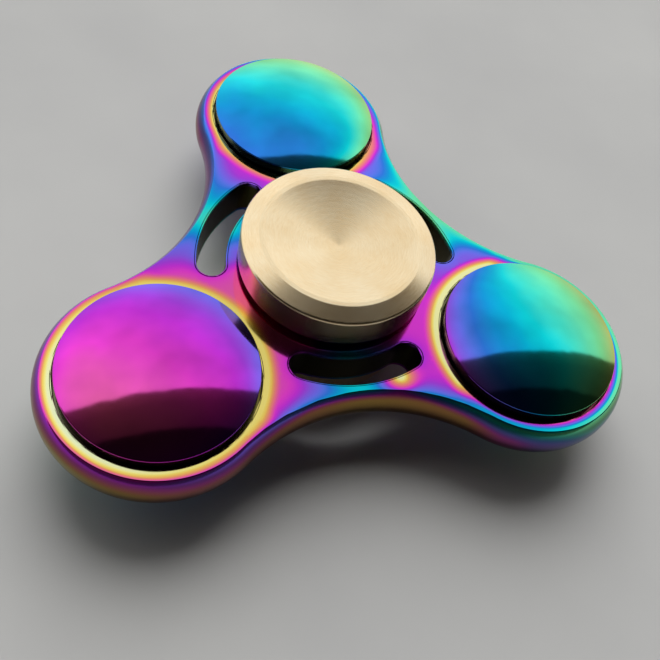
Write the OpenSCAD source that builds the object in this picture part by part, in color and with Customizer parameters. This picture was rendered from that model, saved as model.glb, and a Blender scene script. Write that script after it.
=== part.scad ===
// Three-lobed fidget spinner on a miniature ball bearing.
// The origin is the middle of the bearing, +Z runs along the spin axis and one lobe points to +Y.
// The body, its screwed weight caps and the bearing's outer ring turn about the two finger buttons,
// which clamp the bearing's inner ring between them.

/* [Body] */
// Distance from the spin axis to the middle of each lobe
lobe_distance = 23.5; // [23:0.1:25]
// Radius of the flat face at the end of each lobe
lobe_face_radius = 11.35; // [11.2:0.05:11.8]
// Least distance from the spin axis to the edge of the flat face, halfway between two lobes
waist_distance = 16; // [15.8:0.1:17]
// Thickness of the body
body_thickness = 4.8; // [4.8:0.1:6]
// How far the rounded edge stands out past the flat faces
edge_bulge = 0.95; // [0.4:0.05:1.4]

/* [Slots] */
// Inner radius of the three curved slots about the spin axis
slot_inner_radius = 12; // [11.8:0.1:12.4]
// Outer radius of the slots
slot_outer_radius = 15.2; // [14.4:0.1:15.2]
// Half of the angle between the middles of a slot's two round ends
slot_half_angle = 24.8; // [15:0.2:26]

/* [Weight caps] */
// Radius of the round recess that a weight cap sits in
recess_radius = 10.23; // [10.2:0.01:10.4]
// Depth of that recess
recess_depth = 1.3; // [0.8:0.1:1.6]
// Gap between a cap and the wall of its recess
cap_gap = 0.25; // [0.1:0.05:0.4]
// Height of a cap's straight side above the body
cap_side_height = 1.15; // [0.5:0.05:1.5]
// Rise of the domed crown above the straight side
crown_rise = 1.45; // [1:0.05:2.8]
// Radius of the hole through the lobe
lobe_bore_radius = 7.6; // [6:0.1:8]
// Radius of the screw that joins the two caps of a lobe
cap_screw_radius = 3; // [2:0.1:4]

/* [Bearing] */
// Radius of the bearing's bore, 6.35 mm across
bearing_bore_radius = 3.175; // [3.175]
// Outside radius of the bearing, 12.7 mm across
bearing_outer_radius = 6.35; // [6.35]
// Width of the bearing
bearing_width = 4.7625; // [4.7625]
// Radius of a ball
ball_radius = 0.992; // [0.992]
// Number of balls
ball_count = 10; // [8:1:11]
// Clearance between a ball and the floor of either groove
ball_play = 0.02; // [0.01:0.01:0.04]

/* [Buttons] */
// Outside radius of a button
button_radius = 10.8; // [10:0.1:11]
// Gap between a button's underside and the face of the body
button_gap = 0.8; // [0.4:0.1:1.2]
// Height of a button's straight wall above the body
button_wall_top = 4.55; // [4:0.05:5]
// Height of a button's rim above the body
button_top = 5.08; // [5.05:0.01:6]
// Outer radius of the flat rim
rim_outer_radius = 8.9; // [8.6:0.1:9.5]
// Inner radius of the flat rim, where the finger dish begins
rim_inner_radius = 8.4; // [7:0.1:8.5]
// Depth of the conical finger dish at its middle
dish_depth = 1.4; // [0.2:0.05:2]
// Radius of the press pin on the upper button
pin_radius = 2; // [1.5:0.1:2.2]

/* [Hidden] */
LOBES = 3;
$fn = 96;
half_body = body_thickness / 2;
half_bearing = bearing_width / 2;
past = 1; // how far a cutting tool runs past the face it cuts
overlap = 0.5; // how far two pieces of one solid run into each other
facing = 0.2; // what is faced off each side of the body's blank

// The rounded edge is one arc through both face edges.
edge_arc_radius = (half_body * half_body + edge_bulge * edge_bulge) / (2 * edge_bulge);
edge_arc_inset = edge_arc_radius - edge_bulge;

// The waist's face edge is an arc tangent to the two lobes beside it, centred between them.
lobe_reach = waist_distance - lobe_face_radius;
waist_centre_distance = (lobe_distance * lobe_distance - lobe_reach * lobe_reach)
    / (lobe_distance - 2 * lobe_reach);
// It runs this much deeper than a true tangent, so that the two rounded edges cross cleanly.
waist_step = 0.05;
waist_radius = waist_centre_distance - waist_distance + waist_step;

// Angle, at the waist's centre, between the spin axis and a lobe's middle
waist_half_angle = asin(lobe_distance * sin(180 / LOBES) / (waist_radius - waist_step + lobe_face_radius));
core_radius = slot_inner_radius + past; // the round middle, which fills the blank up to the slots

slot_half_width = (slot_outer_radius - slot_inner_radius) / 2;
slot_mid_radius = slot_inner_radius + slot_half_width;

cap_radius = recess_radius - cap_gap;
cap_seat = half_body - recess_depth;
cap_shoulder = half_body + cap_side_height;
crown_radius = (cap_radius * cap_radius + crown_rise * crown_rise) / (2 * crown_rise);
cap_boss_play = 0.1;
cap_boss_radius = lobe_bore_radius - cap_boss_play;
cap_meeting_gap = 0.1; // left between the two bosses that meet inside a lobe
screw_play = 0.05;
screw_end_play = 0.3;
screw_length = 2.4; // above the middle of the body

ball_pitch_radius = (bearing_bore_radius + bearing_outer_radius) / 2;
groove_to_ball = 1.05; // how much rounder a groove is than a ball
groove_radius = ball_radius * groove_to_ball;
groove_offset = groove_radius - ball_radius - ball_play;
land_depth = 0.3; // depth of a groove below the land beside it
inner_land_radius = ball_pitch_radius - ball_radius - ball_play + land_depth;
outer_land_radius = ball_pitch_radius + ball_radius + ball_play - land_depth;
ring_chamfer = 0.15;

cage_play = 0.3;
cage_inner_radius = inner_land_radius + cage_play;
cage_outer_radius = outer_land_radius - cage_play;
pocket_play = 0.07;
cage_pocket_radius = ball_radius + pocket_play;
cage_bottom = -0.35; // a little under the balls' middles, so that the pockets hold them
cage_top = 1.65;

// The necks bear on the inner ring only, and the stem slides into its bore.
neck_step = 0.1;
neck_radius = inner_land_radius - neck_step;
stem_play = 0.02;
stem_radius = bearing_bore_radius - stem_play;
stem_end_play = 0.1;
stem_length = bearing_width - stem_end_play;
pin_play = 0.03;
pin_end_play = 0.3;
pin_length = bearing_width - pin_end_play;
button_edge = 0.12; // chamfer of a button's lower edge

// Places the children at each lobe in turn, or at lobe i alone.
module at_lobe(i) {
    rotate([0, 0, 90 + (i - 1) * 360 / LOBES]) translate([lobe_distance, 0, 0]) children();
}

module at_lobes() {
    for (i = [1:LOBES]) at_lobe(i) children();
}

module at_waists() {
    for (i = [1:LOBES]) rotate([0, 0, 30 + (i - 1) * 360 / LOBES]) children();
}

// Turns the children over, end for end, for a piece's mirror twin under the body.
module turned_over() {
    rotate([0, 180, 0]) children();
}

// ---------------------------------------------------------------- frame

// Half section of a lobe about its own axis, h either side of the middle plane
module lobe_section(h) {
    arc_middle = lobe_face_radius - edge_arc_inset;
    translate([0, -h]) square([arc_middle + overlap, 2 * h]);
    intersection() {
        translate([arc_middle, 0]) circle(r = edge_arc_radius);
        translate([arc_middle, -h]) square([edge_arc_radius + overlap, 2 * h]);
    }
}

// Section of the hollow waist, about the axis that its arc is drawn from
module waist_section(h) {
    arc_middle = waist_radius + edge_arc_inset;
    outer = waist_radius + lobe_face_radius + overlap;
    translate([arc_middle - overlap, -h]) square([outer - arc_middle + overlap, 2 * h]);
    intersection() {
        translate([arc_middle, 0]) circle(r = edge_arc_radius);
        translate([arc_middle - edge_arc_radius - overlap, -h])
            square([edge_arc_radius + overlap, 2 * h]);
    }
}

// The outside of the body: round lobes, hollow waists between them and a round core.
// Each is drawn to a height of its own, past the flat faces, and then all are faced off together.
module body_blank() {
    intersection() {
        union() {
            at_lobes() rotate_extrude() lobe_section(half_body + facing);
            at_waists() translate([waist_centre_distance, 0, 0])
                rotate([0, 0, 180 - waist_half_angle])
                rotate_extrude(angle = 2 * waist_half_angle) waist_section(half_body + 2 * facing);
            cylinder(r = core_radius, h = body_thickness + 6 * facing, center = true);
        }
        cube([4 * lobe_distance, 4 * lobe_distance, body_thickness], center = true);
    }
}

// A slot's curved middle and its two round ends
module slot_cutters() {
    cut_height = body_thickness + 2 * past;
    rotate([0, 0, -slot_half_angle]) rotate_extrude(angle = 2 * slot_half_angle)
        translate([slot_inner_radius, -cut_height / 2]) square([2 * slot_half_width, cut_height]);
    for (side = [-1, 1]) {
        rotate([0, 0, side * slot_half_angle]) translate([slot_mid_radius, 0, 0])
            cylinder(r = slot_half_width, h = cut_height, center = true);
    }
}

module lobe_bores() {
    cylinder(r = lobe_bore_radius, h = body_thickness + 2 * past, center = true);
    for (side = [-1, 1]) {
        translate([0, 0, side * (cap_seat + (recess_depth + past) / 2)])
            cylinder(r = recess_radius, h = recess_depth + past, center = true);
    }
}

module frame() {
    color("mediumorchid") difference() {
        body_blank();
        cylinder(r = bearing_outer_radius, h = body_thickness + 2 * past, center = true);
        at_lobes() lobe_bores();
        at_waists() slot_cutters();
    }
}

// ---------------------------------------------------------------- weight caps

// Domed cap: a boss that fills half of the lobe's hole, a flange in the recess and a round crown
module cap_blank() {
    rotate_extrude() {
        translate([0, cap_meeting_gap / 2])
            square([cap_boss_radius, cap_seat - cap_meeting_gap / 2 + overlap]);
        translate([0, cap_seat]) square([cap_radius, cap_shoulder - cap_seat]);
        intersection() {
            translate([0, cap_shoulder + crown_rise - crown_radius]) circle(r = crown_radius, $fn = 180);
            translate([0, cap_shoulder - overlap]) square([cap_radius, crown_rise + overlap]);
        }
    }
}

// Upper cap with a tapped hole in its boss
module weight_cap_top(i) {
    color("deepskyblue") at_lobe(i) difference() {
        cap_blank();
        translate([0, 0, -past])
            cylinder(r = cap_screw_radius + screw_play, h = screw_length + screw_end_play + past);
    }
}

// Lower cap with the screw that fits that hole
module weight_cap_bottom(i) {
    color("deepskyblue") at_lobe(i) {
        turned_over() cap_blank();
        translate([0, 0, -half_body]) cylinder(r = cap_screw_radius, h = half_body + screw_length);
    }
}

// ---------------------------------------------------------------- bearing

// Section of a ring between two radii, with small chamfers on its four corners
module ring_section(r_in, r_out) {
    c = ring_chamfer;
    h = half_bearing;
    polygon([
        [r_in + c, -h], [r_out - c, -h], [r_out, -h + c], [r_out, h - c],
        [r_out - c, h], [r_in + c, h], [r_in, h - c], [r_in, -h + c]
    ]);
}

module bearing_outer_ring() {
    color("silver") rotate_extrude() difference() {
        ring_section(outer_land_radius, bearing_outer_radius);
        translate([ball_pitch_radius - groove_offset, 0]) circle(r = groove_radius);
    }
}

module bearing_inner_ring() {
    color("silver") rotate_extrude() difference() {
        ring_section(bearing_bore_radius, inner_land_radius);
        translate([ball_pitch_radius + groove_offset, 0]) circle(r = groove_radius);
    }
}

module at_ball(i) {
    rotate([0, 0, (i - 1) * 360 / ball_count]) translate([ball_pitch_radius, 0, 0]) children();
}

// Crown cage: a ring above the balls with round pockets open below them
module bearing_cage() {
    color("goldenrod") difference() {
        rotate_extrude() translate([cage_inner_radius, cage_bottom])
            square([cage_outer_radius - cage_inner_radius, cage_top - cage_bottom]);
        for (i = [1:ball_count]) at_ball(i) sphere(r = cage_pocket_radius);
    }
}

module ball(i) {
    color("gainsboro") at_ball(i) sphere(r = ball_radius);
}

// ---------------------------------------------------------------- buttons

// Thick disc with a wide chamfer, a narrow rim and a conical finger dish, on a short neck
module button_blank() {
    low = half_body + button_gap;
    wall = half_body + button_wall_top;
    top = half_body + button_top;
    rotate_extrude() polygon([
        [0, half_bearing], [neck_radius, half_bearing], [neck_radius, low],
        [button_radius - button_edge, low], [button_radius, low + button_edge],
        [button_radius, wall], [rim_outer_radius, top], [rim_inner_radius, top],
        [0, top - dish_depth]
    ]);
}

// Upper button with the solid pin that presses into the lower button's stem
module button_top_piece() {
    color("burlywood") {
        button_blank();
        translate([0, 0, half_bearing - pin_length])
            cylinder(r = pin_radius, h = pin_length + overlap);
    }
}

// Lower button with the hollow stem that goes through the bearing
module button_bottom_piece() {
    color("burlywood") difference() {
        union() {
            turned_over() button_blank();
            translate([0, 0, -half_bearing - overlap])
                cylinder(r = stem_radius, h = stem_length + overlap);
        }
        translate([0, 0, -half_bearing]) cylinder(r = pin_radius + pin_play, h = bearing_width + past);
    }
}

frame();
for (i = [1:LOBES]) weight_cap_top(i);
for (i = [1:LOBES]) weight_cap_bottom(i);
bearing_outer_ring();
bearing_inner_ring();
bearing_cage();
for (i = [1:ball_count]) ball(i);
button_top_piece();  // button_top
button_bottom_piece();  // button_bottom
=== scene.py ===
import math
from collections import namedtuple

import bpy
from mathutils import Matrix, Quaternion, Vector
from mathutils.geometry import delaunay_2d_cdt


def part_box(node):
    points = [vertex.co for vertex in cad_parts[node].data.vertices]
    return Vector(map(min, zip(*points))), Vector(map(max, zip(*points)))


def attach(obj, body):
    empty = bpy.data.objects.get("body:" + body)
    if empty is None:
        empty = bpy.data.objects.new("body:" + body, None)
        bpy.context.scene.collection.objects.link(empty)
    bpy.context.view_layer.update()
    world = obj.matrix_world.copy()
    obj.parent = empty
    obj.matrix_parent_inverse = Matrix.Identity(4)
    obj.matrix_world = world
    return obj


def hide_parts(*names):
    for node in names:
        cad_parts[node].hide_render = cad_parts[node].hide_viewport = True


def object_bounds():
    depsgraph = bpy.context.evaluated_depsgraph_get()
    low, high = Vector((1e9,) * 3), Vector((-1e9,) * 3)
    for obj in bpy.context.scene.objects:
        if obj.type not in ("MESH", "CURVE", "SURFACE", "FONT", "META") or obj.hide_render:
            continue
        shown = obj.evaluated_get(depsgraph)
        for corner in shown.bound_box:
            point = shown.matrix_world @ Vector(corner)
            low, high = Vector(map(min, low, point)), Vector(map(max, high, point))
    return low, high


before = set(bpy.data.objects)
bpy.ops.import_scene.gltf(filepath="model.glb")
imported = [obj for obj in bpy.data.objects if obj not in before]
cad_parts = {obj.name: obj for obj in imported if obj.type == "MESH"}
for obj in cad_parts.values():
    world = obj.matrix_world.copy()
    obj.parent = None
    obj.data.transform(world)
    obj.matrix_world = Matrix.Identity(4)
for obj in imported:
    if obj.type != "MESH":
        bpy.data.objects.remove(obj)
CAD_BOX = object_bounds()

# A fidget spinner: a rainbow-coated body with domed weight caps, turning between two brass buttons.
# Lengths below are in millimetres and are turned into metres when a mesh is made.
MM = 0.001

# ---------------------------------------------------------------- sizes

LOBES = 3


def box_mm(node):
    """Lowest and highest corner of a CAD node, in millimetres."""
    low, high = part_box(node)
    return low / MM, high / MM


def lobe_centres():
    """Where each lobe's axis stands, from the cap that sits in it."""
    centres = []
    for i in range(1, LOBES + 1):
        low, high = box_mm(f"weight_cap_top_{i}")
        centres.append(((low + high) / 2).to_2d())
    return centres


BODY_HIGH = box_mm("frame")[1]
CAP_HIGH = box_mm("weight_cap_top_1")[1]
BUTTON_LOW, BUTTON_HIGH = box_mm("button_top")
STEM_HIGH = box_mm("button_bottom")[1]
RING_HIGH = box_mm("bearing_outer_ring")[1]

HALF_BODY = BODY_HIGH.z
LOBE_CENTRES = lobe_centres()
LOBE_DISTANCE = LOBE_CENTRES[0].length
LOBE_ANGLES = [math.atan2(c.y, c.x) for c in LOBE_CENTRES]

# The body: a flat face with rounded lobes and waists, and a bulging side
EDGE_BULGE = 0.95
LOBE_FACE_RADIUS = BODY_HIGH.y - LOBE_DISTANCE - EDGE_BULGE
WAIST_DISTANCE = 16.0
FACE_EDGE_BREAK = 0.14
SLOT_INNER_RADIUS, SLOT_OUTER_RADIUS = 12.0, 15.2
SLOT_MIDDLE_RADIUS = (SLOT_INNER_RADIUS + SLOT_OUTER_RADIUS) / 2
SLOT_HALF_WIDTH = (SLOT_OUTER_RADIUS - SLOT_INNER_RADIUS) / 2
SLOT_HALF_ANGLE = math.radians(24.8)
HOLE_EDGE_BREAK = 0.12
RECESS_RADIUS = 10.23
RECESS_DEPTH = 1.3
RECESS_EDGE_BREAK, RECESS_CORNER = 0.07, 0.05
LOBE_BORE_RADIUS = 7.6
HUB_BORE_RADIUS = RING_HIGH.x

# The weight caps
CAP_RADIUS = CAP_HIGH.x
CAP_SHOULDER = HALF_BODY + 1.15
CAP_TOP = CAP_HIGH.z
CAP_SEAT = HALF_BODY - RECESS_DEPTH
CAP_EDGE_BREAK = 0.14
CAP_BOSS_RADIUS = LOBE_BORE_RADIUS - 0.1
CAP_SCREW_RADIUS = 3.0
CAP_SCREW_LENGTH = 2.4
CAP_SCREW_PLAY, CAP_SCREW_END_PLAY = 0.05, 0.3
HALF_CAP_GAP = 0.05

# The buttons
BUTTON_RADIUS = BUTTON_HIGH.x
BUTTON_TOP = BUTTON_HIGH.z
BUTTON_WALL_TOP = HALF_BODY + 4.55
BUTTON_UNDERSIDE = HALF_BODY + 0.8
RIM_OUTER_RADIUS, RIM_INNER_RADIUS = 8.9, 8.4
DISH_DEPTH = 1.4
# How far the dish is a bowl: 0 is a straight cone and 1 is a parabola
DISH_ROUNDNESS, DISH_STEPS = 0.45, 12
DISH_CORNER = 8.0
NECK_RADIUS = 3.95
HALF_BEARING = RING_HIGH.z
STEM_RADIUS, STEM_END = 3.155, STEM_HIGH.z
PIN_RADIUS, PIN_END = 2.0, BUTTON_LOW.z
PIN_PLAY = 0.03

# Fineness of the meshes: the flat face's grid, rows of points near its edges, plan loops, walls,
# lathes, and steps round small corners, the side's bulge and a cap's crown
FACE_SPACING = 0.36
EDGE_ROWS = (0.16, 0.36, 0.62, 0.92)
LOOP_SPACING = 0.32
HOLE_SPACING, LATHE_SPACING = 0.5, 0.4
LATHE_TURNS = 220
CORNER_STEPS, BULGE_STEPS, CROWN_STEPS = 5, 28, 48

# The waist arcs are tangent to the lobes beside them.
WAIST_INSET = WAIST_DISTANCE - LOBE_FACE_RADIUS
WAIST_CENTRE_DISTANCE = (LOBE_DISTANCE**2 - WAIST_INSET**2) / (LOBE_DISTANCE - 2 * WAIST_INSET)
WAIST_RADIUS = WAIST_CENTRE_DISTANCE - WAIST_DISTANCE
WAIST_HALF_ANGLE = math.asin(
    LOBE_DISTANCE * math.sin(math.pi / LOBES) / (WAIST_RADIUS + LOBE_FACE_RADIUS)
)
LOBE_HALF_ROUND = math.pi / LOBES + WAIST_HALF_ANGLE


def polar(radius, angle):
    return Vector((radius * math.cos(angle), radius * math.sin(angle)))


WAIST_ANGLES = [a + math.pi / LOBES for a in LOBE_ANGLES]
WAIST_CENTRES = [polar(WAIST_CENTRE_DISTANCE, a) for a in WAIST_ANGLES]

# ---------------------------------------------------------------- paths and loops


def arc_path(centre, radius, start, end, steps):
    """Points of a section's arc with their outward normals; the angles are in radians."""
    path = []
    for s in range(steps + 1):
        normal = polar(1, start + (end - start) * s / steps)
        path.append((Vector(centre) + normal * radius, normal))
    return path


def rounded_path(corners, spacing):
    """A section through corners (x, y, radius), rounded at each, with its normals on the left."""
    places = [Vector(c[:2]) for c in corners]
    ways = [(q - p).normalized() for p, q in zip(places, places[1:])]
    here, path = places[0], []
    for k, way in enumerate(ways):
        normal = Vector((-way.y, way.x))
        turn, reach = 0.0, 0.0
        if k + 1 < len(ways):
            turn = math.atan2(way.cross(ways[k + 1]), way.dot(ways[k + 1]))
            reach = corners[k + 1][2] * math.tan(abs(turn) / 2)
        there = places[k + 1] - way * reach
        count = max(1, math.ceil((there - here).length / spacing))
        path += [(here.lerp(there, s / count), normal) for s in range(0 if k == 0 else 1, count + 1)]
        if turn:
            side = -1 if turn < 0 else 1
            radius = corners[k + 1][2]
            centre = there + normal * radius * side
            for s in range(1, CORNER_STEPS + 1):
                swung = normal.copy()
                swung.rotate(Matrix.Rotation(turn * s / CORNER_STEPS, 2))
                path.append((centre - swung * radius * side, swung))
            here = places[k + 1] + ways[k + 1] * reach
    return path


def loop_arc(centre, radius, start, end, inward):
    """Points of a plan loop's arc with the normals that leave the metal."""
    count = max(2, math.ceil(abs(end - start) * radius / LOOP_SPACING))
    sign = -1 if inward else 1
    points = []
    for s in range(count):
        way = polar(1, start + (end - start) * s / count)
        points.append((Vector(centre) + way * radius, way * sign))
    return points


def outline_loop():
    """The edge of the flat face, round each lobe and through each waist, with the metal on its left."""
    loop = []
    for lobe, angle, waist, turn in zip(LOBE_CENTRES, LOBE_ANGLES, WAIST_CENTRES, WAIST_ANGLES):
        loop += loop_arc(lobe, LOBE_FACE_RADIUS, angle - LOBE_HALF_ROUND, angle + LOBE_HALF_ROUND, False)
        back = turn + math.pi
        loop += loop_arc(waist, WAIST_RADIUS, back + WAIST_HALF_ANGLE, back - WAIST_HALF_ANGLE, True)
    return loop


def slot_loop(angle):
    """A curved slot with round ends, with the metal on its left."""
    low, high = angle - SLOT_HALF_ANGLE, angle + SLOT_HALF_ANGLE
    low_end, high_end = polar(SLOT_MIDDLE_RADIUS, low), polar(SLOT_MIDDLE_RADIUS, high)
    return (
        loop_arc((0, 0), SLOT_OUTER_RADIUS, high, low, True)
        + loop_arc(low_end, SLOT_HALF_WIDTH, low, low - math.pi, True)
        + loop_arc((0, 0), SLOT_INNER_RADIUS, low, high, False)
        + loop_arc(high_end, SLOT_HALF_WIDTH, high + math.pi, high, True)
    )


def hole_loop(centre, radius):
    return loop_arc(centre, radius, 0, -2 * math.pi, True)


# ---------------------------------------------------------------- coating
# The coating's colour goes with its thickness, here a number: 0 is yellow, and rising through
# red, magenta, blue, cyan and green it comes back to yellow at 1. Below 0 it fades to white.


def smooth(low, high, value):
    """Rises from 0 at low to 1 at high, with level ends; low may be the greater."""
    t = min(1.0, max(0.0, (value - low) / (high - low)))
    return t * t * (3 - 2 * t)


def mix(a, b, share):
    return a + (b - a) * share


def turn_between(a, b):
    """The angle from a to b, between minus and plus half a turn."""
    return (b - a + math.pi) % (2 * math.pi) - math.pi


def hill(value, width):
    """1 at a value of 0, falling to nothing past the width."""
    return math.exp(-((value / width) ** 2))


def round_blend(stations, angle):
    """Blends values round the spin axis; a station is an angle in degrees and its value."""
    place = math.degrees(angle) % 360
    around = [(stations[-1][0] - 360, stations[-1][1]), *stations, (stations[0][0] + 360, stations[0][1])]
    for (low, a), (high, b) in zip(around, around[1:]):
        if place <= high:
            return mix(a, b, smooth(low, high, place))


# A waist's arc is followed a little past its ends, so that no point falls between two arcs.
WAIST_OVERLAP = 1.05


def edge_distance(point):
    """How far a point of the body lies from the edge of the flat face."""
    for lobe, angle in zip(LOBE_CENTRES, LOBE_ANGLES):
        way = point - lobe
        if abs(turn_between(angle, math.atan2(way.y, way.x))) < LOBE_HALF_ROUND:
            return max(0.0, LOBE_FACE_RADIUS - way.length)
    distances = []
    for waist, angle in zip(WAIST_CENTRES, WAIST_ANGLES):
        way = point - waist
        if abs(turn_between(angle + math.pi, math.atan2(way.y, way.x))) < WAIST_HALF_ANGLE * WAIST_OVERLAP:
            distances.append(way.length - WAIST_RADIUS)
    return max(0.0, min(distances, default=0.0))


# Along the edge of the flat face: both sides and the tip of each lobe, and the waists between them
EDGE_FILM = (
    (30, 0.75), (66, 0.69), (90, 0.74), (114, 0.50), (150, 0.66), (185, 0.34),
    (210, 0.30), (222, 0.31), (236, 0.38), (250, 0.60), (268, 0.64), (300, 0.62), (330, 0.76), (354, 0.74),
)
# In the middle of the webs and the arms
WEB_FILM = (
    (0, 0.43), (12, 0.61), (30, 0.63), (48, 0.60), (62, 0.48), (90, 0.30), (120, 0.35), (134, 0.55),
    (150, 0.61), (168, 0.44), (182, 0.26), (210, 0.22), (240, 0.27), (265, 0.56), (300, 0.31), (330, 0.32),
)
# Low down on the rounded side
SIDE_FILM = (
    (30, 0.60), (90, 0.25), (116, 0.18), (122, 0.35), (150, 0.35), (198, 0.15), (212, 0.03), (222, 0.06),
    (234, 0.18), (246, 0.12), (270, 0.07), (298, 0.09), (303, 0.30), (308, 0.44), (317, 0.60), (340, 0.66),
)
# Heights between which the side's film thins to that, on the lobes and in the waists
LOBE_THINNING, WAIST_THINNING = (HALF_BODY - 0.1, 0.5), (HALF_BODY + 0.15, 1.3)
LOBE_SIDE_FILM = 0.08
# Angles from a waist's middle, in degrees, between which its colours become the lobe's
WAIST_COLOURS_END, LOBE_COLOURS_START = 18, 34
# Below this height the side takes on the lower face's colours
UNDERSIDE_START = -1.4

# The coating at each lobe's recess: its film, the change on one side, which side and how wide,
# then how sharply the ring outside it thickens, what share of the ring does so, and how far the
# thin part reaches into the arm
Seat = namedtuple("Seat", "film change side width power share reach")
SEATS = (
    Seat(-0.01, 0.33, 18, 50, 1.7, 1.0, 0.05),
    Seat(0.02, -0.07, 205, 62, 3.6, 1.0, 0.60),
    Seat(-0.02, 0.24, 312, 62, 1.0, 0.7, 0.55),
)
SEAT_FADE = 1.95
SLOT_FILM, SLOT_FADE = 0.09, 0.7
EDGE_FADE = 1.0
# Widths of metal at which a lobe's ring ends and an arm begins, and one that counts as none
RING_WIDTH, ARM_WIDTH = 1.3, 3.0
NO_WIDTH = 0.001
# One thin patch between a slot and a waist
PATCH_PLACE, PATCH_SIZE, PATCH_DROP = polar(15.3, math.radians(285.5)), 1.8, 0.55

# Painted shade: how much it darkens the side, the recesses and the slots, and the depths over which it grows
SIDE_PAINTED_SHADE, RECESS_PAINTED_SHADE, SLOT_PAINTED_SHADE = 0.72, 0.75, 1.0
SIDE_SHADE_START, SIDE_SHADE_FULL, SIDE_MARGIN = HALF_BODY - 0.05, 1.7, 0.5
WALL_SHADE_START, WALL_SHADE_FULL = HALF_BODY - 0.06, HALF_BODY - 0.4


def face_film(point):
    """Thickness on the upper face: thin round the recesses, thicker towards the other edges."""
    around = math.atan2(point.y, point.x)
    gaps = [(point - c).length - RECESS_RADIUS for c in LOBE_CENTRES]
    lobe = gaps.index(min(gaps))
    gap, edge = max(0.0, gaps[lobe]), edge_distance(point)
    way = point - LOBE_CENTRES[lobe]
    seat = SEATS[lobe]
    off = turn_between(math.radians(seat.side), math.atan2(way.y, way.x))
    inner = seat.film + seat.change * hill(off, math.radians(seat.width))
    rim = round_blend(EDGE_FILM, around)
    across = gap / (gap + edge + NO_WIDTH)
    ring = mix(inner, rim, min(1.0, across / seat.share) ** seat.power)
    web = mix(round_blend(WEB_FILM, around), rim, math.exp(-edge / EDGE_FADE))
    web += SLOT_FILM * math.exp(-max(0.0, slot_gap(point)) / SLOT_FADE)
    arm = mix(inner, web, smooth(seat.reach, SEAT_FADE, gap))
    patch = PATCH_DROP * hill((point - PATCH_PLACE).length, PATCH_SIZE)
    return mix(ring, arm, smooth(RING_WIDTH, ARM_WIDTH, gap + edge)) - patch


def side_film(plan, height, top):
    """Thickness on the rounded side, which goes from the upper face's to its own and the lower face's."""
    around = math.atan2(plan.y, plan.x)
    off_waist = min(abs(turn_between(a, around)) for a in WAIST_ANGLES)
    lobe_share = smooth(math.radians(WAIST_COLOURS_END), math.radians(LOBE_COLOURS_START), off_waist)
    start, end = (mix(w, b, lobe_share) for w, b in zip(WAIST_THINNING, LOBE_THINNING))
    low = round_blend(SIDE_FILM, around)
    side = mix(top + LOBE_SIDE_FILM * lobe_share, low, smooth(start, end, height))
    return mix(side, lower_face_film(plan), smooth(UNDERSIDE_START, -HALF_BODY, height))


def lower_face_film(plan):
    """Thickness on the lower face, which is like the upper one turned over."""
    return face_film(Vector((-plan.x, plan.y)))


def body_film(point):
    """Thickness anywhere on the body."""
    plan = point.to_2d()
    if point.z <= -HALF_BODY + FACE_EDGE_BREAK:
        return lower_face_film(plan)
    top = face_film(plan)
    if point.z >= HALF_BODY - FACE_EDGE_BREAK / 2 or inside_outline(plan):
        return top
    return side_film(plan, point.z, top)


def body_painted_shade(point):
    """Painted shade on the body: darkest in the slots, less in the recesses and down the side away from the
    faces, none on the faces.
    """
    height, plan = abs(point.z), point.to_2d()
    if edge_distance(plan) < SIDE_MARGIN:
        return SIDE_PAINTED_SHADE * smooth(SIDE_SHADE_START, SIDE_SHADE_FULL, height)
    by_recess = min((plan - c).length for c in LOBE_CENTRES) < RECESS_RADIUS + HOLE_EDGE_BREAK
    deepest = RECESS_PAINTED_SHADE if by_recess else SLOT_PAINTED_SHADE
    return deepest * smooth(WALL_SHADE_START, WALL_SHADE_FULL, height)


# The coating on each cap: its film in the middle, the change across it and which way, the change
# all round the rim, and more change on one side of the rim and which side
CapCoat = namedtuple("CapCoat", "middle across angle rim one_side rim_angle")
CAP_COATS = {
    "top": (
        CapCoat(0.650, 0.100, 60, 0.09, 0.10, 11),
        CapCoat(0.306, 0.105, 48, 0.09, 0.02, -9),
        CapCoat(0.664, 0.118, 10, 0.02, 0.20, -9),
    ),
    "bottom": (
        CapCoat(0.34, 0.10, 200, 0.06, 0.08, 180),
        CapCoat(0.66, 0.12, 120, 0.08, 0.12, 100),
        CapCoat(0.56, 0.13, -40, 0.06, 0.14, -60),
    ),
}
# How closely the rim's change keeps to the rim
RIM_POWER = 5
# Heights over which painted shade grows on a cap, from just under its shoulder down its side into the recess
CAP_SHADE_START, CAP_SHADE_FULL = CAP_SHOULDER - 0.02, CAP_SHOULDER - 0.35


def cap_film(side, lobe):
    """Makes the function that gives a cap's thickness at a point."""
    coat = CAP_COATS[side][lobe]
    way = polar(coat.across, math.radians(coat.angle))
    rim_way = polar(coat.one_side, math.radians(coat.rim_angle))

    def film(point):
        offset = (point.to_2d() - LOBE_CENTRES[lobe]) / CAP_RADIUS
        rim = coat.rim * offset.length + offset.dot(rim_way)
        return coat.middle + offset.dot(way) + offset.length**RIM_POWER * rim

    return film


def cap_painted_shade(point):
    """Painted shade on a cap: darker down its side, where it sits in its recess, and none on its crown."""
    return RECESS_PAINTED_SHADE * smooth(CAP_SHADE_START, CAP_SHADE_FULL, abs(point.z))


# ---------------------------------------------------------------- meshes

# Lengths that count as none, for a radius and between two points
NO_LENGTH, SAME_POINT = 1e-6, 1e-7


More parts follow.
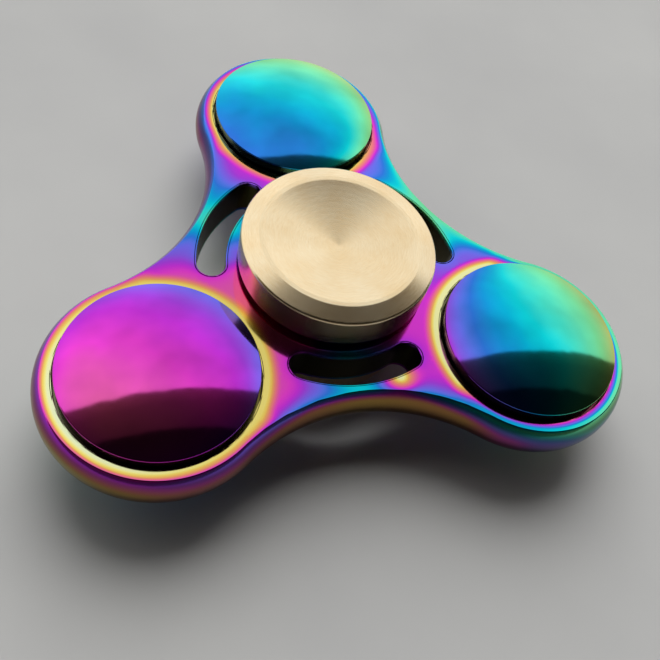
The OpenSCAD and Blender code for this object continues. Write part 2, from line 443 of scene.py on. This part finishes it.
def finish_mesh(name, points, normals, faces, coat=()):
    """Makes a smooth object of these points, with exact normals.

    coat holds the functions of a point that give the coating's thickness and how much painted shade darkens
    it.
    """
    mesh = bpy.data.meshes.new(name)
    mesh.from_pydata([p * MM for p in points], [], faces)
    mesh.shade_smooth()
    mesh.normals_split_custom_set_from_vertices(normals)
    for layer_name, value_at in zip(("film", "painted_shade"), coat):
        layer = mesh.attributes.new(layer_name, "FLOAT", "POINT")
        layer.data.foreach_set("value", [value_at(p) for p in points])
    mesh.validate()
    piece = bpy.data.objects.new(name, mesh)
    bpy.context.scene.collection.objects.link(piece)
    return piece


def lathe(name, path, centre=(0, 0), coat=()):
    """A round solid about an upright axis through centre, from a path that starts and ends on it."""
    points, normals, faces, rows = [], [], [], []
    for place, normal in path:
        on_axis = place.x < NO_LENGTH
        row = []
        for s in range(1 if on_axis else LATHE_TURNS):
            way = polar(1, 2 * math.pi * s / LATHE_TURNS)
            row.append(len(points))
            points.append(Vector((centre[0] + way.x * place.x, centre[1] + way.y * place.x, place.y)))
            flat = 0.0 if on_axis else normal.x
            normals.append(Vector((way.x * flat, way.y * flat, normal.y)).normalized())
        rows.append(row)
    for upper, lower in zip(rows, rows[1:]):
        for s in range(LATHE_TURNS):
            t = (s + 1) % LATHE_TURNS
            if len(upper) == 1:
                faces.append((upper[0], lower[s], lower[t]))
            elif len(lower) == 1:
                faces.append((upper[s], lower[0], upper[t]))
            else:
                faces.append((upper[s], lower[s], lower[t], upper[t]))
    return finish_mesh(name, points, normals, faces, coat)


def sweep(points, normals, faces, loop, path):
    """Adds a wall: the path's section carried round a plan loop. Returns its first and last rows."""
    rows = []
    for place, normal in path:
        rows.append(range(len(points), len(points) + len(loop)))
        for spot, away in loop:
            points.append((spot + away * place.x).to_3d() + Vector((0, 0, place.y)))
            normals.append((away * normal.x).to_3d() + Vector((0, 0, normal.y)))
    for upper, lower in zip(rows, rows[1:]):
        for s in range(len(loop)):
            t = (s + 1) % len(loop)
            faces.append((upper[s], lower[s], lower[t], upper[t]))
    return rows[0], rows[-1]


# How much nearer to another edge than its own a row's point may be
ROW_SLACK = 0.05


def face_points(loops):
    """Points to carry the coating across the flat face: rows along its edges and a grid between them."""
    found = []
    for distance in EDGE_ROWS:
        for loop in loops:
            row = [spot - away * distance for spot, away in loop]
            found += [spot for spot in row if on_face(spot, distance - ROW_SLACK)]
    reach = LOBE_DISTANCE + LOBE_FACE_RADIUS
    step_y = FACE_SPACING * math.sqrt(3) / 2
    margin = EDGE_ROWS[-1] + FACE_SPACING / 2
    for row in range(int(-reach / step_y), int(reach / step_y) + 1):
        for col in range(int(-reach / FACE_SPACING) - 1, int(reach / FACE_SPACING) + 1):
            spot = Vector(((col + 0.5 * (row % 2)) * FACE_SPACING, row * step_y))
            if on_face(spot, margin):
                found.append(spot)
    return found


def slot_gap(point):
    """How far a point lies outside the nearest slot; less than 0 inside it."""
    around = math.atan2(point.y, point.x)
    gaps = []
    for angle in WAIST_ANGLES:
        off = turn_between(angle, around)
        if abs(off) < SLOT_HALF_ANGLE:
            gaps.append(abs(point.length - SLOT_MIDDLE_RADIUS) - SLOT_HALF_WIDTH)
        else:
            end = polar(SLOT_MIDDLE_RADIUS, angle + math.copysign(SLOT_HALF_ANGLE, off))
            gaps.append((point - end).length - SLOT_HALF_WIDTH)
    return min(gaps)


def inside_outline(point):
    """True within the edge of the flat face, holes and all."""
    if any((point - lobe).length < LOBE_FACE_RADIUS for lobe in LOBE_CENTRES):
        return True
    if point.length > LOBE_DISTANCE:
        return False
    return all((point - waist).length > WAIST_RADIUS for waist in WAIST_CENTRES)


def on_face(point, margin):
    """True where the flat face has metal, at least margin from each of its edges."""
    if not inside_outline(point) or (margin and edge_distance(point) < margin):
        return False
    if point.length - HUB_BORE_RADIUS < margin or slot_gap(point) < margin:
        return False
    return all((point - c).length - RECESS_RADIUS > margin for c in LOBE_CENTRES)


def fill_face(points, normals, faces, rings, z, grid):
    """Fills the flat face between the rings of points that bound it."""
    flat, edges, known = [], [], []
    for ring in rings:
        start = len(flat)
        flat += [points[i].to_2d() for i in ring]
        known += list(ring)
        edges += [(start + k, start + (k + 1) % len(ring)) for k in range(len(ring))]
    flat += grid
    made, _, triangles, origin, _, _ = delaunay_2d_cdt(flat, edges, [], 0, SAME_POINT)
    index = []
    for spot, source in zip(made, origin):
        if source and source[0] < len(known):
            index.append(known[source[0]])
        else:
            index.append(len(points))
            points.append(spot.to_3d() + Vector((0, 0, z)))
            normals.append(Vector((0, 0, math.copysign(1, z))))
    for a, b, c in triangles:
        if on_face((made[a] + made[b] + made[c]) / 3, 0):
            faces.append((index[a], index[b], index[c]) if z > 0 else (index[a], index[c], index[b]))


def bulged_edge():
    """Section of the body's outer edge: a broken corner, one round bulge and a broken corner."""
    radius = (HALF_BODY**2 + EDGE_BULGE**2) / (2 * EDGE_BULGE)
    middle = EDGE_BULGE - radius
    corner_z = HALF_BODY - FACE_EDGE_BREAK
    corner_x = middle + math.sqrt((radius - FACE_EDGE_BREAK) ** 2 - corner_z**2)
    meet = math.atan2(corner_z, corner_x - middle)
    upper = arc_path((corner_x, corner_z), FACE_EDGE_BREAK, math.pi / 2, meet, CORNER_STEPS)
    bulge = arc_path((middle, 0), radius, meet, -meet, BULGE_STEPS)
    lower = arc_path((corner_x, -corner_z), FACE_EDGE_BREAK, -meet, -math.pi / 2, CORNER_STEPS)
    return upper + bulge[1:] + lower[1:]


def plain_hole_edge():
    """Section of a straight hole through the body, with small rounded corners."""
    h, r = HALF_BODY, HOLE_EDGE_BREAK
    return rounded_path([(-2 * r, h, 0), (0, h, r), (0, -h, r), (-2 * r, -h, 0)], HOLE_SPACING)


def recess_edge():
    """Section of a lobe's recesses and the hole between them."""
    h, seat, ledge = HALF_BODY, CAP_SEAT, RECESS_RADIUS - LOBE_BORE_RADIUS
    r = RECESS_EDGE_BREAK
    half = [(-2 * r, h, 0), (0, h, r), (0, seat, RECESS_CORNER), (ledge, seat, r)]
    return rounded_path(half + [(x, -z, c) for x, z, c in reversed(half)], HOLE_SPACING)


def make_body():
    """The three-lobed body: every wall swept round its loop, then both flat faces filled between them."""
    points, normals, faces = [], [], []
    walls = [(outline_loop(), bulged_edge())]
    walls += [(slot_loop(angle), plain_hole_edge()) for angle in WAIST_ANGLES]
    walls += [(hole_loop(c, RECESS_RADIUS), recess_edge()) for c in LOBE_CENTRES]
    walls += [(hole_loop((0, 0), HUB_BORE_RADIUS), plain_hole_edge())]
    ends = [sweep(points, normals, faces, loop, path) for loop, path in walls]
    grid = face_points([loop for loop, _ in walls])
    fill_face(points, normals, faces, [e[0] for e in ends], HALF_BODY, grid)
    fill_face(points, normals, faces, [e[1] for e in ends], -HALF_BODY, grid)
    return finish_mesh("polished_body", points, normals, faces, (body_film, body_painted_shade))


def crown_path():
    """Section of a cap's domed crown and its edge, with the height at which the edge ends."""
    edge = CAP_EDGE_BREAK
    rise = CAP_TOP - CAP_SHOULDER
    crown = (CAP_RADIUS**2 + rise**2) / (2 * rise)
    crown_z = CAP_TOP - crown
    corner_x = CAP_RADIUS - edge
    corner_z = crown_z + math.sqrt((crown - edge) ** 2 - corner_x**2)
    meet = math.atan2(corner_z - crown_z, corner_x)
    path = arc_path((0, crown_z), crown, math.pi / 2, meet, CROWN_STEPS)
    path += arc_path((corner_x, corner_z), edge, meet, 0, CORNER_STEPS)[1:]
    return path, corner_z


def cap_section(end):
    """Section of a cap, from the top of its crown down its side and boss to its screw end."""
    crown, edge_z = crown_path()
    wall = [(CAP_RADIUS, edge_z, 0), (CAP_RADIUS, CAP_SEAT, 0.1), (CAP_BOSS_RADIUS, CAP_SEAT, 0.05)]
    return crown + rounded_path(wall + end, LATHE_SPACING)[1:]


def turned_over(path):
    """The same section for the mirror twin under the body, still walked with its normals on the left."""
    return [(Vector((p.x, -p.y)), Vector((n.x, -n.y))) for p, n in reversed(path)]


def screw_hole_end():
    """Corners of the upper cap's boss and of the hole that takes the lower cap's screw."""
    gap, radius = HALF_CAP_GAP, CAP_SCREW_RADIUS + CAP_SCREW_PLAY
    depth = CAP_SCREW_LENGTH + CAP_SCREW_END_PLAY
    return [(CAP_BOSS_RADIUS, gap, 0.15), (radius, gap, 0.1), (radius, depth, 0.1), (0, depth, 0)]


def screw_end():
    """Corners of the lower cap's boss and screw, before it is turned over."""
    gap, radius, length = HALF_CAP_GAP, CAP_SCREW_RADIUS, CAP_SCREW_LENGTH
    return [(CAP_BOSS_RADIUS, gap, 0.15), (radius, gap, 0.05), (radius, -length, 0.2), (0, -length, 0)]


def make_cap(side, lobe):
    """One domed weight cap, above or below the body."""
    if side == "top":
        path = cap_section(screw_hole_end())
    else:
        path = turned_over(cap_section(screw_end()))
    name = f"polished_cap_{side}_{lobe + 1}"
    return lathe(name, path, LOBE_CENTRES[lobe], (cap_film(side, lobe), cap_painted_shade))


def button_face():
    """Corners of a button's section from the middle of its dish to its neck, as (radius, z, rounding)."""
    dish = BUTTON_TOP - DISH_DEPTH
    bowl = []
    for k in range(1, DISH_STEPS):
        t = k / DISH_STEPS
        z = dish + DISH_DEPTH * mix(t, t * t, DISH_ROUNDNESS)
        bowl.append((RIM_INNER_RADIUS * t, z, DISH_CORNER))
    return [
        (0, dish, 0), *bowl, (RIM_INNER_RADIUS, BUTTON_TOP, 0.9),
        (RIM_OUTER_RADIUS, BUTTON_TOP, 0.5), (BUTTON_RADIUS, BUTTON_WALL_TOP, 0.35),
        (BUTTON_RADIUS, BUTTON_UNDERSIDE, 0.12), (NECK_RADIUS, BUTTON_UNDERSIDE, 0.15),
        (NECK_RADIUS, HALF_BEARING, 0.1),
    ]


def make_button_top():
    """The upper button, with the pin under it."""
    pin = [(PIN_RADIUS, HALF_BEARING, 0.1), (PIN_RADIUS, PIN_END, 0.25), (0, PIN_END, 0)]
    return lathe("turned_button_top", rounded_path(button_face() + pin, LATHE_SPACING))


def make_button_bottom():
    """The lower button, with the hollow stem that takes the pin; drawn upright and turned over."""
    end, bore = -STEM_END, PIN_RADIUS + PIN_PLAY
    stem = [
        (STEM_RADIUS, HALF_BEARING, 0.05), (STEM_RADIUS, end, 0.15), (bore, end, 0.1),
        (bore, HALF_BEARING, 0.1), (0, HALF_BEARING, 0),
    ]
    path = rounded_path(button_face() + stem, LATHE_SPACING)
    return lathe("turned_button_bottom", turned_over(path))


# ---------------------------------------------------------------- materials


def srgb(code):
    """A web colour as the linear colour that shaders take."""
    parts = [int(code[k : k + 2], 16) / 255 for k in (1, 3, 5)]
    return [p / 12.92 if p <= 0.04045 else ((p + 0.055) / 1.055) ** 2.4 for p in parts] + [1]


def new_material(name):
    material = bpy.data.materials.new(name)
    material.use_nodes = True
    tree = material.node_tree
    return material, tree, tree.nodes["Principled BSDF"]


def add(tree, kind, **values):
    """Adds a node and sets its properties and its unlinked inputs."""
    node = tree.nodes.new(kind)
    for key, value in values.items():
        if key in node.inputs:
            node.inputs[key].default_value = value
        else:
            setattr(node, key, value)
    return node


def maths(tree, operation, a, b):
    """One operation on two values, each a number or another node's output."""
    node = add(tree, "ShaderNodeMath", operation=operation)
    for socket, value in zip(node.inputs, (a, b)):
        if isinstance(value, (int, float)):
            socket.default_value = value
        else:
            tree.links.new(value, socket)
    return node.outputs[0]


def noise(tree, vector, scale, detail=3.0, roughness=0.5):
    """A soft noise from 0 to 1; its scale is how many of its cells fit in one unit of the vector."""
    node = add(tree, "ShaderNodeTexNoise", Scale=scale, Detail=detail, Roughness=roughness)
    tree.links.new(vector, node.inputs["Vector"])
    return node.outputs["Fac"]


def object_place(tree):
    """A point's own place on its object, in metres."""
    return add(tree, "ShaderNodeTexCoord").outputs["Object"]


def ramp(tree, factor, stops):
    """Turns a factor into a colour; a stop is a place from 0 to 1 and its colour."""
    node = add(tree, "ShaderNodeValToRGB")
    bar = node.color_ramp
    while len(bar.elements) > 1:
        bar.elements.remove(bar.elements[-1])
    bar.elements[0].position, bar.elements[0].color = stops[0]
    for place, colour in stops[1:]:
        bar.elements.new(place).color = colour
    tree.links.new(factor, node.inputs["Fac"])
    return node.outputs["Color"]


def blend(tree, kind, a, b):
    """Two colours blended in full."""
    node = add(tree, "ShaderNodeMix", data_type="RGBA", blend_type=kind)
    node.inputs["Factor"].default_value = 1.0
    tree.links.new(a, node.inputs["A"])
    tree.links.new(b, node.inputs["B"])
    return node.outputs["Result"]


def bump(tree, shader, height, strength, distance):
    """Gives a shader's surface fine relief; the distance is in metres."""
    node = add(tree, "ShaderNodeBump", Strength=strength, Distance=distance)
    tree.links.new(height, node.inputs["Height"])
    tree.links.new(node.outputs["Normal"], shader.inputs["Normal"])


# Interference colours in order of the coating's thickness
FILM_COLOURS = (
    (-0.06, "#dfeec4"), (-0.03, "#ecf0b8"), (0.00, "#f4ec92"), (0.03, "#f2d96c"), (0.06, "#efbe60"),
    (0.09, "#eca766"), (0.14, "#ec8b79"), (0.20, "#ee7092"), (0.25, "#e65cac"), (0.30, "#e540cc"),
    (0.35, "#c634d8"), (0.39, "#a440da"), (0.44, "#865ce4"), (0.50, "#6e70ee"), (0.53, "#5a78ea"),
    (0.57, "#3179de"), (0.61, "#1698db"), (0.64, "#09b4da"), (0.67, "#0dd6dc"), (0.70, "#44e0c8"),
    (0.74, "#6ae6b3"), (0.79, "#7adc97"), (0.85, "#8ecf84"), (0.92, "#a6c676"), (1.00, "#c0bd58"),
)
FILM_LOW, FILM_HIGH = FILM_COLOURS[0][0], FILM_COLOURS[-1][0]


def film_place(value):
    """Where a thickness lies along the ramp of colours."""
    return (value - FILM_LOW) / (FILM_HIGH - FILM_LOW)


def attribute(tree, name):
    """A value that the mesh carries at its points."""
    return add(tree, "ShaderNodeAttribute", attribute_name=name).outputs["Fac"]


# Painted shade: the dark colour towards which slots, recesses, cap sides and the body's side are darkened,
# and the roughness added there
PAINTED_SHADE_COLOUR = "#3a3618"
HAZE_ROUGHNESS, PAINTED_SHADE_ROUGHNESS = 0.05, 0.22


def film_colour(tree, place, wander):
    """The coating's colour, from its thickness and a slow wander of it."""
    waves = maths(tree, "SUBTRACT", noise(tree, place, scale=150), 0.5)
    film = maths(tree, "ADD", attribute(tree, "film"), maths(tree, "MULTIPLY", waves, wander))
    span = maths(tree, "DIVIDE", maths(tree, "SUBTRACT", film, FILM_LOW), FILM_HIGH - FILM_LOW)
    return ramp(tree, span, [(film_place(p), srgb(c)) for p, c in FILM_COLOURS])


def film_material(name, roughness, wander):
    """Mirror-bright metal whose colour follows the coating's thickness, with painted shade that darkens and
    roughens it where the mesh carries shade.
    """
    material, tree, shader = new_material(name)
    # The painted shade that the mesh carries: 0 is none and 1 the darkest
    place, painted_shade = object_place(tree), attribute(tree, "painted_shade")
    tone = add(tree, "ShaderNodeMix", data_type="RGBA", blend_type="MIX")
    tree.links.new(painted_shade, tone.inputs["Factor"])
    tree.links.new(film_colour(tree, place, wander), tone.inputs["A"])
    tone.inputs["B"].default_value = srgb(PAINTED_SHADE_COLOUR)
    tree.links.new(tone.outputs["Result"], shader.inputs["Base Color"])
    haze = maths(tree, "MULTIPLY", noise(tree, place, scale=900, detail=5), HAZE_ROUGHNESS)
    dull = maths(tree, "MULTIPLY", painted_shade, PAINTED_SHADE_ROUGHNESS)
    rough = maths(tree, "ADD", maths(tree, "ADD", haze, dull), roughness)
    tree.links.new(rough, shader.inputs["Roughness"])
    shader.inputs["Metallic"].default_value = 1.0
    bump(tree, shader, noise(tree, place, scale=260, detail=2), strength=0.02, distance=0.0004)
    return material


def radius_of(tree, place):
    """Distance from the spin axis, for marks left by turning."""
    flat = add(tree, "ShaderNodeVectorMath", operation="MULTIPLY")
    tree.links.new(place, flat.inputs[0])
    flat.inputs[1].default_value = (1, 1, 0)
    length = add(tree, "ShaderNodeVectorMath", operation="LENGTH")
    tree.links.new(flat.outputs[0], length.inputs[0])
    return length.outputs["Value"]


# A turned grain's cells round the axis, in a distance equal to the radius, and outwards in a metre
GRAIN_ROUND, GRAIN_OUTWARD = 12, 14000
GRAIN_ROUGHNESS = 0.12


def grain_place(tree, place, radius):
    """Coordinates that stretch a noise into short fine arcs round the axis."""
    unit = add(tree, "ShaderNodeVectorMath", operation="NORMALIZE")
    tree.links.new(place, unit.inputs[0])
    split = add(tree, "ShaderNodeSeparateXYZ")
    tree.links.new(unit.outputs[0], split.inputs[0])
    joined = add(tree, "ShaderNodeCombineXYZ")
    tree.links.new(maths(tree, "MULTIPLY", split.outputs["X"], GRAIN_ROUND), joined.inputs["X"])
    tree.links.new(maths(tree, "MULTIPLY", split.outputs["Y"], GRAIN_ROUND), joined.inputs["Y"])
    tree.links.new(maths(tree, "MULTIPLY", radius, GRAIN_OUTWARD), joined.inputs["Z"])
    return joined.outputs[0]


def turned_metal(name, colour, shade, roughness, anisotropy):
    """Metal with fine rings left by turning, which spread its shine outwards from the axis."""
    material, tree, shader = new_material(name)
    place = object_place(tree)
    turned = grain_place(tree, place, radius_of(tree, place))
    grain = noise(tree, turned, scale=1, detail=4, roughness=0.6)
    cloud = noise(tree, place, scale=220, detail=3)
    mixed = maths(tree, "MULTIPLY", maths(tree, "ADD", grain, cloud), 0.5)
    tint = ramp(tree, mixed, [(0.3, srgb(shade)), (0.62, srgb(colour))])
    tree.links.new(tint, shader.inputs["Base Color"])
    rough = maths(tree, "ADD", maths(tree, "MULTIPLY", mixed, GRAIN_ROUGHNESS), roughness)
    tree.links.new(rough, shader.inputs["Roughness"])
    shader.inputs["Metallic"].default_value = 1.0
    shader.inputs["Anisotropic"].default_value = anisotropy
    shader.inputs["Anisotropic Rotation"].default_value = 0.25
    tangent = add(tree, "ShaderNodeTangent", direction_type="RADIAL", axis="Z")
    tree.links.new(tangent.outputs["Tangent"], shader.inputs["Tangent"])
    bump(tree, shader, grain, strength=0.06, distance=0.00003)
    return material


def floor_material():
    material, tree, shader = new_material("pale_floor")
    patches = noise(tree, object_place(tree), scale=30, detail=6)
    tint = ramp(tree, patches, [(0.3, srgb("#b5b5b4")), (0.7, srgb("#bebebc"))])
    tree.links.new(tint, shader.inputs["Base Color"])
    shader.inputs["Roughness"].default_value = 0.7
    return material


# ---------------------------------------------------------------- camera, light and floor

CAMERA_AZIMUTH = math.radians(-28.94)
CAMERA_ELEVATION = math.radians(55.6)
CAMERA_ROLL = math.radians(20)
CAMERA_TARGET = Vector((-2.1, -8.4, HALF_BODY)) * MM
CAMERA_DISTANCE = 84.63 * MM
CAMERA_LENS = 43.06


def back_way(azimuth, elevation):
    """The way from the object to a camera."""
    flat = math.cos(elevation)
    return Vector((math.sin(azimuth) * flat, -math.cos(azimuth) * flat, math.sin(elevation)))


def make_camera():
    camera = bpy.data.objects.new("camera", bpy.data.cameras.new("camera"))
    bpy.context.scene.collection.objects.link(camera)
    back = back_way(CAMERA_AZIMUTH, CAMERA_ELEVATION)
    camera.location = CAMERA_TARGET + back * CAMERA_DISTANCE
    turn = (-back).to_track_quat("-Z", "Y")
    camera.rotation_mode = "QUATERNION"
    camera.rotation_quaternion = Quaternion(back, CAMERA_ROLL) @ turn
    camera.data.lens = CAMERA_LENS
    camera.data.clip_start, camera.data.clip_end = 0.005, 20
    bpy.context.scene.camera = camera


def grey(level):
    return (level, level, level, 1)


# The room's light by how near a way points to its dark part: 0 is straight away and 1 straight at it
ROOM_STOPS = (
    (0.0, grey(1.1)), (0.30, grey(1.05)), (0.450, grey(1.0)),
    (0.457, (0.15, 0.13, 0.09, 1)), (0.500, (0.08, 0.065, 0.05, 1)), (0.580, (0.045, 0.037, 0.03, 1)),
    (0.590, grey(0.006)), (1.0, grey(0.008)),
)
# The edge of the dark part wavers by this much.
EDGE_WAVER = 0.04
# A faint warm glow, strongest low down, by how far up a way points
GLOW_STOPS = (
    (0.0, (0.12, 0.10, 0.08, 1)), (0.09, (0.09, 0.075, 0.06, 1)), (0.31, (0.045, 0.038, 0.03, 1)),
    (0.45, (0.02, 0.018, 0.015, 1)), (0.80, (0.01, 0.009, 0.008, 1)), (0.97, grey(0.0)),
)
# Soft clouds all over the bright part, and one greyer cloud high beyond the object
CLOUD_LOW, CLOUD_RANGE = 0.53, 0.8
GREY_CLOUD_WAY = Vector((0.09, 0.54, 0.837)).normalized()
GREY_CLOUD_STOPS = ((0.93, grey(1.0)), (0.975, grey(0.93)), (0.992, grey(0.84)), (1.0, grey(0.78)))


# Where the middle of the dark part lies, as seen from the object towards the camera's side
DARK_BACK, DARK_RIGHT, DARK_UP = 0.85, 0.5, 0.2


def dark_way():
    """The middle of the dark part of the room: behind the camera, to its right and a little up."""
    back = back_way(CAMERA_AZIMUTH, 0)
    right = Vector((-back.y, back.x, 0))
    return (back * DARK_BACK + right * DARK_RIGHT + Vector((0, 0, DARK_UP))).normalized()


def along(tree, way, axis):
    """How far a way points along an axis, from -1 to 1."""
    node = add(tree, "ShaderNodeVectorMath", operation="DOT_PRODUCT")
    tree.links.new(way, node.inputs[0])
    node.inputs[1].default_value = axis
    return node.outputs["Value"]


def room_light(tree, way):
    """Bright beyond the object and on its left, and dark behind the camera, with a wavering edge."""
    waver = maths(tree, "MULTIPLY", maths(tree, "SUBTRACT", noise(tree, way, 7, 3), 0.5), EDGE_WAVER)
    turned = maths(tree, "ADD", along(tree, way, dark_way()), waver)
    return ramp(tree, maths(tree, "MULTIPLY", maths(tree, "ADD", turned, 1.0), 0.5), ROOM_STOPS)


def make_world():
    """The soft light and the dark room that the polished metal reflects."""
    world = bpy.data.worlds.new("soft_light")
    bpy.context.scene.world = world
    world.use_nodes = True
    tree = world.node_tree
    way = add(tree, "ShaderNodeTexCoord").outputs["Generated"]
    puffs = maths(tree, "MULTIPLY", noise(tree, way, 3.4, 2), CLOUD_RANGE)
    sky = blend(tree, "MULTIPLY", room_light(tree, way), maths(tree, "ADD", puffs, CLOUD_LOW))
    grey_cloud = ramp(tree, along(tree, way, GREY_CLOUD_WAY), GREY_CLOUD_STOPS)
    glow = ramp(tree, along(tree, way, (0, 0, 1)), GLOW_STOPS)
    lit = blend(tree, "LIGHTEN", blend(tree, "MULTIPLY", sky, grey_cloud), glow)
    tree.links.new(lit, tree.nodes["Background"].inputs["Color"])


def make_lamp():
    """A wide soft lamp high beyond the object, which lights the floor and shows in no reflection."""
    lamp = bpy.data.objects.new("soft_lamp", bpy.data.lights.new("soft_lamp", "SUN"))
    bpy.context.scene.collection.objects.link(lamp)
    lamp.data.energy = 2.8
    lamp.data.angle = math.radians(55)
    lamp.rotation_euler = (math.radians(-46), 0, math.radians(-12))
    lamp.visible_glossy = False


def make_floor():
    """A wide plain floor at the height of the lower button's rim, in metres."""
    reach, z = 3.0, CAD_BOX[0].z
    mesh = bpy.data.meshes.new("floor")
    corners = [(-reach, -reach, z), (reach, -reach, z), (reach, reach, z), (-reach, reach, z)]
    mesh.from_pydata(corners, [], [(0, 1, 2, 3)])
    floor = bpy.data.objects.new("floor", mesh)
    bpy.context.scene.collection.objects.link(floor)
    mesh.materials.append(floor_material())


# ---------------------------------------------------------------- assembly


def fit_piece(piece, node, body, material):
    """Puts a piece in the place of a CAD node, on its body."""
    piece.data.materials.append(material)
    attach(piece, body)
    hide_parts(node)


def repaint(node, material):
    """Gives a CAD node a better material."""
    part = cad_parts[node]
    for k in range(len(part.material_slots)):
        part.material_slots[k].material = material


def build():
    """Makes the stage, the materials and every piece."""
    make_camera()
    make_world()
    make_lamp()
    make_floor()
    body_coat = film_material("body_rainbow_coat", roughness=0.07, wander=0.02)
    cap_coat = film_material("cap_rainbow_coat", roughness=0.05, wander=0.05)
    brass = turned_metal("turned_brass", "#ffecc6", "#f3d5a3", roughness=0.18, anisotropy=0.8)
    steel = turned_metal("bearing_steel_ground", "#d8dadd", "#a9acb0", roughness=0.2, anisotropy=0.4)
    cage = turned_metal("cage_steel_pressed", "#c6bfb0", "#958d7d", roughness=0.35, anisotropy=0.0)
    fit_piece(make_body(), "frame", "rotor", body_coat)
    for side in ("top", "bottom"):
        for lobe in range(LOBES):
            node = f"weight_cap_{side}_{lobe + 1}"
            fit_piece(make_cap(side, lobe), node, "rotor", cap_coat)
    fit_piece(make_button_top(), "button_top", "hub", brass)
    fit_piece(make_button_bottom(), "button_bottom", "hub", brass)
    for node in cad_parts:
        if node.startswith("ball_") or node in ("bearing_outer_ring", "bearing_inner_ring"):
            repaint(node, steel)
    repaint("bearing_cage", cage)
    bpy.context.scene.view_settings.view_transform = "Standard"


build()
